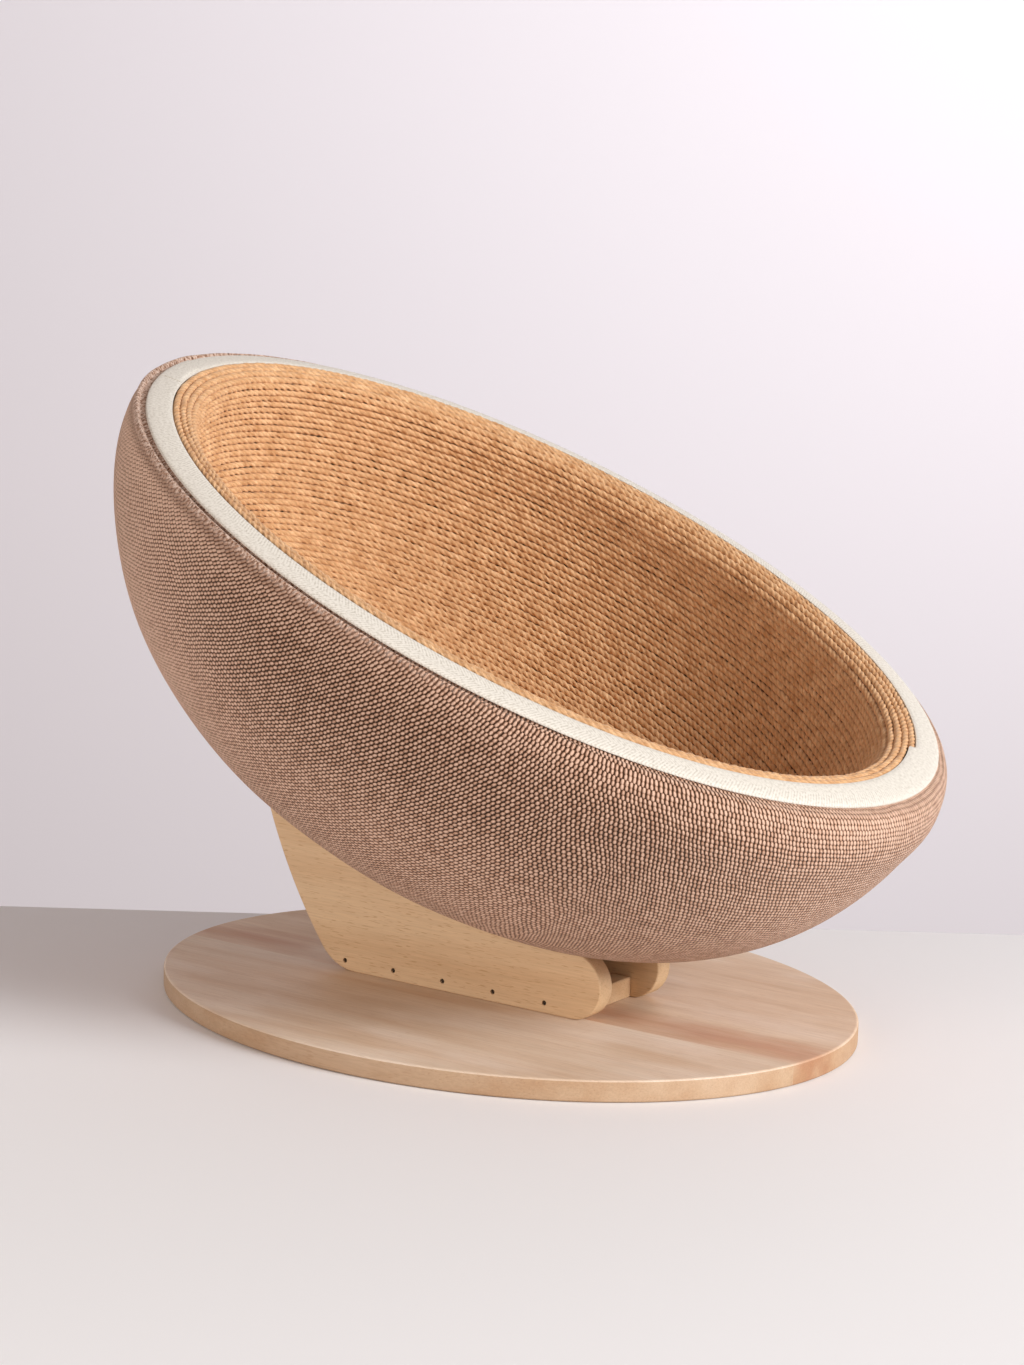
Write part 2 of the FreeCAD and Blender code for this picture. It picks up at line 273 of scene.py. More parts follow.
@dataclass(frozen=True)
class KnitYarn:
    """Brushed polyester yarn, warp-knit and pulled tight over the bowl.

    Each stitch shows as a small leaning bead with a dark hole beside it, and every
    other row stands part of a stitch aside. The bead's colour is painted shade in the hole,
    partly the dark core, rising to a painted highlight on its crest. Towards the hem the
    stitches line up in ribs, and where the cut edge rolls over at the high end the yarn is
    fluffy, with painted shade in the crease under it and painted sheen on the knit round
    that end. Lengths are in stitches and rows, whose millimetres the sleeve gives, scales
    are per stitch, and places round the bowl are in turns, unless they are named otherwise.
    """

    name: str
    gap: str = "36200F"
    shade: str = "704A34"
    yarn: str = "AE8267"
    crest: str = "DDB9A2"
    fluff: str = "E9D2C3"
    drift: float = 1.6
    drift_scale: float = 0.09
    drift_rows: float = 0.6
    zigzag: float = 0.38
    rib_zigzag: float = -0.1
    rib_mm: float = 22.0
    lean_high: float = -0.22
    lean_low: float = 0.45
    lean_turn: float = -95.0 / 360.0
    bead_half_width: float = 0.56
    open_half_width: float = 0.39
    open_turn: float = -68.0 / 360.0
    bottom_widening: float = 0.14
    bottom_from_mm: float = 50.0
    bottom_to_mm: float = 130.0
    bead_half_length: float = 0.58
    rib_lengthening: float = 0.12
    bead_height_mm: float = 1.1
    odd_share: float = 0.28
    fuzz_scale: float = 4.0
    fuzz_share: float = 0.35
    ply_share: float = 0.06
    plies: float = 3.0
    rib_light: float = 0.08
    high_end_painted_sheen: float = 0.16
    fluff_mm: float = 8.5
    fluff_turn: float = -150.0 / 360.0
    tuft_scale: float = 1.3
    fluff_relief: float = 1.2
    fuzz_relief: float = 0.3
    crease_shade_share: float = 0.5
    crease_top_mm: float = 3.0
    crease_mm: float = 9.0
    relief_strength: float = 0.9
    roughness: float = 0.9
    sheen: float = 0.45
    sheen_roughness: float = 0.45
    specular: float = 0.2

    def material(self) -> bpy.types.Material:
        """Builds the finish on two UV maps: stitches and rows; turns and millimetres below the hem.

        Returns:
            The material.
        """
        material, tree = new_material(self.name)
        add = partial(add_node, tree)
        spot = add("UVMap", uv_map="stitches")
        sheet = add("SeparateXYZ", spot).node.outputs
        hem = add("SeparateXYZ", add("UVMap", uv_map="hem")).node.outputs
        below = hem["Y"]

        def facing(turn: float, waves: float) -> Socket:
            """Even waves round the bowl, highest at one place.

            Args:
                turn: That place.
                waves: Number of waves.

            Returns:
                Height of the waves, from -1 to 1.
            """
            off = add("Math", hem["X"], turn, operation="SUBTRACT")
            return add("Math", add("Math", off, FULL_TURN * waves, operation="MULTIPLY"), operation="COSINE")

        # Rows and columns, which drift, and the place within one stitch.
        slow = add("TexNoise", spot, inputs={"Scale": self.drift_scale, "Detail": 2.0})
        drift = add("Math", add("Math", slow, 0.5, operation="SUBTRACT"), self.drift, operation="MULTIPLY")
        ribbed = add("MapRange", below, 0.6 * self.rib_mm, 1.5 * self.rib_mm, 1.0, 0.0, **GENTLE)
        level = add("Math", drift, self.drift_rows, sheet["Y"], operation="MULTIPLY_ADD")
        row = add("Math", level, operation="FLOOR")
        aside = add("Math", ribbed, self.rib_zigzag, self.zigzag, operation="MULTIPLY_ADD")
        column = add("Math", sheet["X"], drift, operation="ADD")
        other_row = add("Math", row, 2.0, operation="FLOORED_MODULO")
        column = add("Math", other_row, aside, column, operation="MULTIPLY_ADD")
        across = add("Math", add("Math", column, operation="FRACT"), 0.5, operation="SUBTRACT")
        along = add("Math", add("Math", level, operation="FRACT"), 0.5, operation="SUBTRACT")

        # The bead of one stitch: it leans, and it is slimmer where the knit is pulled open.
        lean = add(
            "MapRange", facing(self.lean_turn, 2.0), -0.5, 0.5, self.lean_low, self.lean_high, **GENTLE)
        leaning = add("Math", along, lean, across, operation="MULTIPLY_ADD")
        opened = add(
            "MapRange", facing(self.open_turn, 1.0), 0.45, 0.98,
            self.bead_half_width, self.open_half_width, **GENTLE)
        widened = add(
            "MapRange", below, self.bottom_from_mm, self.bottom_to_mm, 0.0, self.bottom_widening, **GENTLE)
        half_width = add("Math", opened, widened, operation="ADD")
        half_length = add(
            "Math", ribbed, self.rib_lengthening, self.bead_half_length, operation="MULTIPLY_ADD")
        rest: Any = 1.0
        for off, half in ((leaning, half_width), (along, half_length)):
            share = add("Math", add("Math", off, operation="ABSOLUTE"), half, operation="DIVIDE")
            rest = add("Math", rest, add("Math", share, 2.0, operation="POWER"), operation="SUBTRACT")
        dome = add("Math", add("Math", rest, 0.0, operation="MAXIMUM"), operation="SQRT")

        # Its colour: painted shade in the hole beside it, partly the dark core, rising to a painted highlight
        # on its crest, with odd stitches, fuzz and plies.
        cell = add("CombineXYZ", add("Math", column, operation="FLOOR"), row, 0.0)
        odd = add("TexWhiteNoise", cell, noise_dimensions="3D")
        fuzz = add("TexNoise", spot, inputs={"Scale": self.fuzz_scale, "Detail": 3.0, "Roughness": 0.7})
        tufts = add("TexNoise", spot, inputs={"Scale": self.tuft_scale, "Detail": 3.0, "Roughness": 0.75})
        turned = add("Math", leaning, FULL_TURN * self.plies, operation="MULTIPLY")
        plies = add("Math", turned, operation="SINE")
        # Painted sheen: the knit round the high end is painted lighter.
        high = add("MapRange", facing(self.fluff_turn, 1.0), 0.5, 0.95, 0.0, self.high_end_painted_sheen, **GENTLE)
        shade = dome
        for part, share in (
            (add("Math", odd, 0.5, operation="SUBTRACT"), self.odd_share),
            (add("Math", fuzz, 0.5, operation="SUBTRACT"), self.fuzz_share),
            (plies, self.ply_share),
            (ribbed, self.rib_light),
        ):
            shade = add("Math", part, share, shade, operation="MULTIPLY_ADD")
        shade = add("Math", high, shade, operation="ADD")
        colour = add("ValToRGB", shade, stops=(
            (0.04, self.gap), (0.36, self.shade), (0.66, self.yarn), (1.0, self.crest)))

        # The fluffy rolled edge at the high end, and painted shade in the crease under it, partly a line of
        # dark stitch holes.
        high_end = add("MapRange", facing(self.fluff_turn, 1.0), -0.1, 0.75, 0.0, 1.0, **GENTLE)
        edge, fold = self.fluff_mm, self.fluff_mm + self.crease_top_mm
        at_hem = add("MapRange", below, edge, fold, 1.0, 0.0, **GENTLE)
        under = add("MapRange", below, edge, fold, 0.0, self.crease_shade_share, **GENTLE)
        over = add("MapRange", below, fold, edge + self.crease_mm, 1.0, 0.0, **GENTLE)
        crease_shade = add("Math", over, add("Math", under, high_end, operation="MULTIPLY"), operation="MULTIPLY")
        fluff = add("ValToRGB", tufts, stops=(
            (0.32, self.gap), (0.39, self.shade), (0.46, self.yarn), (0.57, self.fluff)))
        colour = add("Mix", crease_shade, inputs={6: colour, 7: linear(self.shade)}, **COLOURS)
        rolled = add("Math", at_hem, high_end, operation="MULTIPLY")
        colour = add("Mix", rolled, inputs={6: colour, 7: fluff}, **COLOURS)

        beads = add("Math", fuzz, self.fuzz_relief, dome, operation="MULTIPLY_ADD")
        tufted = add("Math", at_hem, tufts, operation="MULTIPLY")
        heights = add("Math", tufted, self.fluff_relief, beads, operation="MULTIPLY_ADD")
        relief = add("Bump", inputs={
            "Strength": self.relief_strength, "Distance": metres(self.bead_height_mm), "Height": heights})
        dress_surface(
            tree, colour, relief, Roughness=self.roughness, Specular_IOR_Level=self.specular,
            Sheen_Weight=self.sheen, Sheen_Roughness=self.sheen_roughness, Sheen_Tint=linear(self.fluff))
        return material


@dataclass(frozen=True)
class CottonTape:
    """Bleached cotton twill tape: matt white, with slanting ribs that turn at its middle.

    Real ribs are about a millimetre apart; they are drawn twice as coarse, to show.
    """

    name: str
    cloth: str = "DFDAD0"
    furrow_shade: str = "BCB5A8"
    rib_mm: float = 2.0
    slant: float = 0.8
    rib_height: float = 0.09
    fray_mm: float = 5.0 / 3.0
    relief_mm: float = 0.4
    relief_strength: float = 0.5
    roughness: float = 0.9
    sheen: float = 0.15

    def material(self, width_mm: float) -> bpy.types.Material:
        """Builds the finish on a UV map in millimetres along and across the tape.

        Args:
            width_mm: Width of the tape.

        Returns:
            The material.
        """
        material, tree = new_material(self.name)
        add = partial(add_node, tree)
        spot = add("UVMap", uv_map="tape")
        parts = add("SeparateXYZ", spot).node.outputs
        off = add("Math", add("Math", parts["Y"], width_mm / 2, operation="SUBTRACT"), operation="ABSOLUTE")
        slant = add("Math", off, self.slant, parts["X"], operation="MULTIPLY_ADD")
        turned = add("Math", slant, FULL_TURN / self.rib_mm, operation="MULTIPLY")
        ribs = add("Math", turned, operation="SINE")
        fray = add("TexNoise", spot, inputs={"Scale": 1.0 / self.fray_mm, "Detail": 4.0, "Roughness": 0.65})
        heights = add("Math", ribs, self.rib_height, fray, operation="MULTIPLY_ADD")
        # Painted shade: where the ribs and the fray lie low, the tape is painted darker.
        colour = add("ValToRGB", heights, stops=((0.3, self.furrow_shade), (0.56, self.cloth)))
        relief = add("Bump", inputs={
            "Strength": self.relief_strength, "Distance": metres(self.relief_mm), "Height": heights})
        dress_surface(tree, colour, relief, Roughness=self.roughness, Sheen_Weight=self.sheen)
        return material


@dataclass(frozen=True)
class JuteRope:
    """Jute twine laid from three strands: dry straw-coloured fibres, with painted shade in the furrows
    between strands.

    Single fibres are too fine to show; they are drawn as bundles of 0.45 mm.
    """

    name: str
    pale: str = "F7D6AC"
    middle: str = "E5B787"
    deep: str = "9A6A3E"
    worn: str = "C9AE90"
    worn_share: float = 0.85
    worn_mm: float = 100.0 / 7.0
    strands: int = 3
    furrow_shade_share: float = 0.34
    fibre_mm: float = 0.45
    fibre_along: float = 0.16
    girth_mm: float = 12.0
    relief_mm: float = 0.3
    relief_strength: float = 0.6
    roughness: float = 0.85
    sheen: float = 0.15
    specular: float = 0.3

    def material(self) -> bpy.types.Material:
        """Builds the finish on a UV map in millimetres along and turns around the rope.

        Returns:
            The material.
        """
        material, tree = new_material(self.name)
        add = partial(add_node, tree)
        spot = add("UVMap", uv_map="rope")
        around = add("SeparateXYZ", spot, output="Y")
        drawn = add("Mapping", spot, inputs={"Scale": (self.fibre_along, self.girth_mm, 1.0)})
        fibres = add("TexNoise", drawn, inputs={
            "Scale": 1.0 / self.fibre_mm, "Detail": 3.0, "Roughness": 0.6})
        lengths = add("TexNoise", spot, inputs={
            "Scale": 1.0 / self.worn_mm, "Detail": 4.0, "Roughness": 0.65})
        colour = add("ValToRGB", fibres, stops=((0.24, self.deep), (0.45, self.middle), (0.7, self.pale)))
        tone = add("ValToRGB", lengths, stops=((0.32, self.worn), (0.66, "FFFFFF")))
        colour = add("Mix", self.worn_share, inputs={6: colour, 7: tone}, blend_type="MULTIPLY", **COLOURS)
        # Painted shade: the furrows between the strands are painted darker.
        turned = add("Math", around, FULL_TURN * self.strands, operation="MULTIPLY")
        lobes = add("Math", turned, operation="COSINE")
        furrow_shade = add("MapRange", lobes, -1.0, -0.2, self.furrow_shade_share, 0.0)
        colour = add("Mix", furrow_shade, inputs={6: colour, 7: linear(self.deep)}, **COLOURS)
        relief = add("Bump", inputs={
            "Strength": self.relief_strength, "Distance": metres(self.relief_mm), "Height": fibres})
        dress_surface(
            tree, colour, relief, Roughness=self.roughness, Sheen_Weight=self.sheen,
            Specular_IOR_Level=self.specular)
        return material


@dataclass(frozen=True)
class PlainFinish:
    """Finish of small or hidden pieces and of the surroundings: one colour with fine mottling."""

    name: str
    light: str
    dark: str
    mottle_mm: float
    metallic: float
    roughness: float
    relief_mm: float = 0.1
    relief_strength: float = 0.2

    def material(self) -> bpy.types.Material:
        """Builds the finish on Object coordinates.

        Returns:
            The material.
        """
        material, tree = new_material(self.name)
        add = partial(add_node, tree)
        place = add("TexCoord", output="Object")
        mottle = add("TexNoise", place, inputs={"Scale": 1.0 / metres(self.mottle_mm), "Detail": 3.0})
        colour = add("ValToRGB", mottle, stops=((0.35, self.dark), (0.65, self.light)))
        relief = add("Bump", inputs={
            "Strength": self.relief_strength, "Distance": metres(self.relief_mm), "Height": mottle})
        dress_surface(tree, colour, relief, Metallic=self.metallic, Roughness=self.roughness)
        return material


def to_mesh(shape: bmesh.types.BMesh, name: str) -> bpy.types.Mesh:
    """Turns a finished shape to a mesh and frees it.

    Args:
        shape: The shape.
        name: Name of the mesh.

    Returns:
        The new mesh.
    """
    mesh = bpy.data.meshes.new(name)
    shape.to_mesh(mesh)
    shape.free()
    return mesh


def new_object(name: str, data: bpy.types.ID) -> bpy.types.Object:
    """Puts a mesh, curve, lamp or camera into the scene.

    Args:
        name: Name of the object.
        data: What it shows.

    Returns:
        The new object.
    """
    thing = bpy.data.objects.new(name, data)
    bpy.context.scene.collection.objects.link(thing)
    return thing


def new_piece(mesh: bpy.types.Mesh, body: Body, material: bpy.types.Material) -> bpy.types.Object:
    """Puts a finished mesh into the scene as a piece of the object.

    Args:
        mesh: Mesh in the frame's metres, named as the piece.
        body: Body that it moves with.
        material: Finish.

    Returns:
        The new object.
    """
    piece = new_object(mesh.name, mesh)
    mesh.materials.clear()
    mesh.materials.append(material)
    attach(piece, body.value)
    log.info("piece %s: %d faces", piece.name, len(mesh.polygons))
    return piece


def dress_node(node: str, material: bpy.types.Material) -> None:
    """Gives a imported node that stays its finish.

    Args:
        node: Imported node.
        material: Finish.
    """
    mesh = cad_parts[node].data
    mesh.materials.clear()
    mesh.materials.append(material)
    log.info("node %s keeps its shape", node)


@dataclass(frozen=True)
class EasedBoard:
    """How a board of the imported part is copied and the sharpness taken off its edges."""

    ease_mm: float
    weld_mm: float = 0.002
    flat_degrees: float = 0.5
    sharp_degrees: float = 35.0
    shortest_mm: float = 1.2
    smooth_degrees: float = 40.0
    straight: float = 0.9999
    end_face_mm: float = 12.0

    def mesh(self, node: str, name: str, thin: Axis) -> bpy.types.Mesh:
        """Copies and eases one board.

        Args:
            node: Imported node.
            name: Name of the new piece.
            thin: Axis of the board's thickness; the two faces across it are shaded flat.

        Returns:
            The eased mesh.
        """
        shape = bmesh.new()
        shape.from_mesh(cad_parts[node].data)
        bmesh.ops.remove_doubles(shape, verts=shape.verts, dist=metres(self.weld_mm))
        bmesh.ops.dissolve_limit(
            shape, angle_limit=math.radians(self.flat_degrees), verts=shape.verts[:], edges=shape.edges[:])
        sharp = [
            edge for edge in shape.edges
            if edge.is_manifold
            and edge.calc_face_angle() > math.radians(self.sharp_degrees)
            and edge.calc_length() > metres(self.shortest_mm)
        ]
        bmesh.ops.bevel(
            shape, geom=sharp, offset=metres(self.ease_mm), segments=2, profile=0.5, affect="EDGES",
            material=-1, clamp_overlap=True)
        mesh = to_mesh(shape, name)
        mesh.shade_smooth()
        mesh.set_sharp_from_angle(angle=math.radians(self.smooth_degrees))
        for face in mesh.polygons:
            broad = abs(face.normal[thin.value]) > self.straight
            level = max(abs(part) for part in face.normal) > self.straight
            if broad or (level and face.area > metres(self.end_face_mm) ** 2):
                face.use_smooth = False
        return mesh


@dataclass
class BaseBoard:
    """Oval base board, glued from two staves along its length."""

    near_wood: BoardWood
    far_wood: BoardWood
    edges: EasedBoard = EasedBoard(ease_mm=0.5)

    def build(self) -> None:
        """Builds and dresses both staves."""
        for side, slot, wood in (
            ("near", "base_wood_pale", self.near_wood),
            ("far", "base_wood_warm", self.far_wood),
        ):
            mesh = self.edges.mesh("base_stave_" + side, "board_stave_" + side, Axis.Z)
            piece = new_piece(mesh, Body.STAND, wood.material())
            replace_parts(piece, "base_stave_" + side)


@dataclass
class Cradle:
    """Two upright sides nailed to a floor board, with the screws that hold it on the base."""

    side_wood: BoardWood
    floor_wood: BoardWood
    steel: PlainFinish
    edges: EasedBoard = EasedBoard(ease_mm=0.8)

    def build(self) -> None:
        """Builds the boards and dresses nails and screws."""
        wood = self.side_wood.material()
        for side in ("near", "far"):
            mesh = self.edges.mesh("cradle_side_" + side, "side_board_" + side, Axis.Y)
            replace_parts(new_piece(mesh, Body.STAND, wood), "cradle_side_" + side)
        mesh = self.edges.mesh("cradle_floor", "floor_board", Axis.Z)
        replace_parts(new_piece(mesh, Body.STAND, self.floor_wood.material()), "cradle_floor")
        steel = self.steel.material()
        for node in ("side_nails_near", "side_nails_far", "base_screws"):
            dress_node(node, steel)


@dataclass(frozen=True)
class Shell:
    """One face of the bowl's wall below its widest level, as an oval dome upside down, in millimetres."""

    half_length: float
    half_width: float
    depth: float
    widest_drop: float
    base_power: float
    side_power: float

    def section(self, angle: float, grow: float = 0.0) -> Section:
        """Section at one level.

        Args:
            angle: Degrees from the pole, 0, to the widest level, 90.
            grow: Thickness added outwards.

        Returns:
            Half length, half width and height.
        """
        turn = math.radians(angle)
        across = max(math.sin(turn), 0.0) ** (2.0 / self.base_power)
        down = max(math.cos(turn), 0.0) ** (2.0 / self.side_power)
        return (
            (self.half_length + grow) * across,
            (self.half_width + grow) * across,
            -self.widest_drop - (self.depth - self.widest_drop + grow) * down,
        )

    def height(self, x: float, y: float, grow: float) -> float:
        """Height over a place in plan.

        Args:
            x: Place along the bowl.
            y: Place across it.
            grow: Thickness added outwards.

        Returns:
            Height in the bowl's frame.
        """
        across = math.hypot(x / (self.half_length + grow), y / (self.half_width + grow))
        down = max(1.0 - across ** self.base_power, 0.0) ** (1.0 / self.side_power)
        return -self.widest_drop - (self.depth - self.widest_drop + grow) * down


@dataclass(frozen=True)
class BowlForm:
    """The bowl in its own millimetres: from the centre of its mouth, X to the low front, Z out of it."""

    tilt: float = 23.8
    centre_x: float = 17.5
    centre_z: float = 259.7
    outside: Shell = Shell(
        half_length=265.5, half_width=205.5, depth=184.0, widest_drop=22.0, base_power=2.9, side_power=1.65)
    inside: Shell = Shell(
        half_length=223.0, half_width=167.0, depth=152.0, widest_drop=20.0, base_power=2.6, side_power=1.9)
    core_top_drop: float = 4.1
    rim_power: float = 4.0

    def placing(self) -> Matrix:
        """Matrix from the bowl's millimetres to the frame's metres."""
        seat = Matrix.Translation((metres(self.centre_x), 0.0, metres(self.centre_z)))
        return seat @ Matrix.Rotation(math.radians(self.tilt), 4, "Y") @ Matrix.Scale(metres(1.0), 4)

    def rim(self, angle: float, grow_out: float, grow_in: float, rise: float) -> Section:
        """Section over the rim.

        Args:
            angle: Degrees from the widest level outside, 0, to that inside, 180.
            grow_out: Thickness added outside.
            grow_in: Depth into the wall inside.
            rise: Thickness added on top.

        Returns:
            Half length, half width and height.
        """
        outer, inner = self.outside, self.inside
        turn = math.radians(angle)
        swing = math.copysign(abs(math.cos(turn)) ** (2.0 / self.rim_power), math.cos(turn))
        lift = max(math.sin(turn), 0.0) ** (2.0 / self.rim_power)
        share = (1.0 - swing) / 2.0
        level = -outer.widest_drop + (outer.widest_drop - inner.widest_drop) * share
        long_out, wide_out = outer.half_length + grow_out, outer.half_width + grow_out
        long_in, wide_in = inner.half_length + grow_in, inner.half_width + grow_in
        return (
            long_out + (long_in - long_out) * share,
            wide_out + (wide_in - wide_out) * share,
            level + (rise - self.core_top_drop - level) * lift,
        )


def distances(places: Sequence[Sequence[float]]) -> np.ndarray:
    """Distance along a line of places, from its first.

    Args:
        places: Coordinates of each place.

    Returns:
        The distance at each place.
    """
    return np.concatenate([[0.0], np.cumsum([math.dist(p, q) for p, q in zip(places, places[1:])])])


def oval_spin(
    form: BowlForm,
    name: str,
    sections: Sequence[Section],
    steps: int,
    closed: bool,
    maps: dict[str, Callable[[float, float], tuple[float, float]]],
    shift: Callable[[Vector, float], Vector],
    first_turn: float = 0.0,
    turns: float = 1.0,
    cut_turn: float = 0.5,
    weld_mm: float = 0.0005,
) -> bpy.types.Mesh:
    """Spins a run of sections about the bowl's axis and draws the round out to the oval.

    Args:
        form: The bowl.
        name: Name of the mesh.
        sections: Half length, half width and height of each point of the run.
        steps: Steps round the bowl.
        closed: Whether the run's last point joins its first.
        maps: Gives each UV map's place for an angle in turns and a distance along the run.
        shift: Moves a point of the oval, given the distance along the run.
        first_turn: Where the spin starts, in turns from +X.
        turns: Share of a whole turn that it goes.
        cut_turn: Where the UV maps begin and end.
        weld_mm: Distance within which points are one.

    Returns:
        The mesh in the frame's metres, faces outwards.
    """
    shape = bmesh.new()
    drawn = shape.verts.layers.float.new("drawn")
    reach = shape.verts.layers.float.new("reach")
    run = []
    fars = distances([section[1:] for section in sections])
    for (half_x, half_y, z), far in zip(sections, fars):
        point = shape.verts.new((half_y, 0.0, z))
        point[drawn] = half_x / half_y if half_y > weld_mm else 1.0
        point[reach] = far
        run.append(point)
    pairs = list(zip(run, run[1:])) + ([(run[-1], run[0])] if closed else [])
    edges = [shape.edges.new(pair) for pair in pairs]
    bmesh.ops.spin(
        shape, geom=run + edges, cent=(0, 0, 0), axis=(0, 0, 1), dvec=(0, 0, 0),
        angle=FULL_TURN * turns, steps=steps, use_merge=turns == 1.0, use_duplicate=False)
    bmesh.ops.remove_doubles(shape, verts=shape.verts, dist=weld_mm)
    bmesh.ops.rotate(
        shape, verts=shape.verts, cent=(0, 0, 0), matrix=Matrix.Rotation(FULL_TURN * first_turn, 3, "Z"))
    if closed and turns < 1.0:
        bmesh.ops.holes_fill(shape, edges=[edge for edge in shape.edges if edge.is_boundary])
    bmesh.ops.recalc_face_normals(shape, faces=shape.faces)
    layers = {key: shape.loops.layers.uv.new(key) for key in maps}
    whole = float(fars[-1]) + (math.dist(sections[-1][1:], sections[0][1:]) if closed else 0.0)
    for face in shape.faces:
        middle = face.calc_center_median()
        middle_turn = math.atan2(middle.y, middle.x) / FULL_TURN
        home = FULL_TURN * (cut_turn - (cut_turn - middle_turn) % 1.0)
        reaches = [point[reach] for point in face.verts]
        wraps = closed and max(reaches) - min(reaches) > whole / 2
        for loop in face.loops:
            point = loop.vert
            angle = home
            if math.hypot(point.co.x, point.co.y) > weld_mm:
                angle = home + math.remainder(math.atan2(point.co.y, point.co.x) - home, FULL_TURN)
            far = point[reach] + (whole if wraps and point[reach] < whole / 2 else 0.0)
            for key, place in maps.items():
                loop[layers[key]].uv = place(angle / FULL_TURN, far)
    for point in shape.verts:
        point.co.x *= point[drawn]
        point.co = shift(point.co.copy(), point[reach])
    bmesh.ops.transform(shape, matrix=form.placing(), verts=shape.verts)
    mesh = to_mesh(shape, name)
    mesh.shade_smooth()
    return mesh


def even_run(curve: Callable[[float], Section], last: float, steps: int, finer: int = 60) -> list[Section]:
    """Sections along a curve at equal distances, measured across the bowl's side.

    Args:
        curve: Gives the section at an angle.
        last: Last angle; the first is 0.
        steps: Number of distances.
        finer: Points that the curve is measured at for each of them.

    Returns:
        The sections, ends included.
    """
    fine = [curve(last * i / (finer * steps)) for i in range(finer * steps + 1)]
    far = distances([section[1:] for section in fine])
    marks = np.linspace(0.0, far[-1], steps + 1)
    return [tuple(float(np.interp(m, far, [p[k] for p in fine])) for k in range(3)) for m in marks]


@dataclass(frozen=True)
class Hump:
    """Round hump of height one."""

    middle: float
    half_width: float

    def at(self, place: float) -> float:
        """Height of the hump at a place."""
        share = min(abs(place - self.middle) / self.half_width, 1.0)
        return math.cos(share * math.pi / 2) ** 2

    def around(self, angle: float) -> float:
        """Height of the hump at an angle in degrees."""
        return self.at(self.middle + math.remainder(angle - self.middle, 360.0))


@dataclass(frozen=True)
class TapeLine:
    """Where the tape lies on the rim, in the bowl's millimetres."""

    outer_half_length: float = 256.0
    outer_half_width: float = 199.5
    width: float = 14.7


@dataclass(frozen=True)
class RopeStart:
    """Where the winding begins beside the tape, and how a row moves over to make room for the next."""

    turn: float = 20.0 / 360.0
    drift_share: float = 0.22
    pitch: float = 3.75

    def drift(self, turn: float) -> float:
        """Share of a row's width that it has moved in, after a share of its turn."""
        return smooth_step((turn - 1.0 + self.drift_share) / self.drift_share)


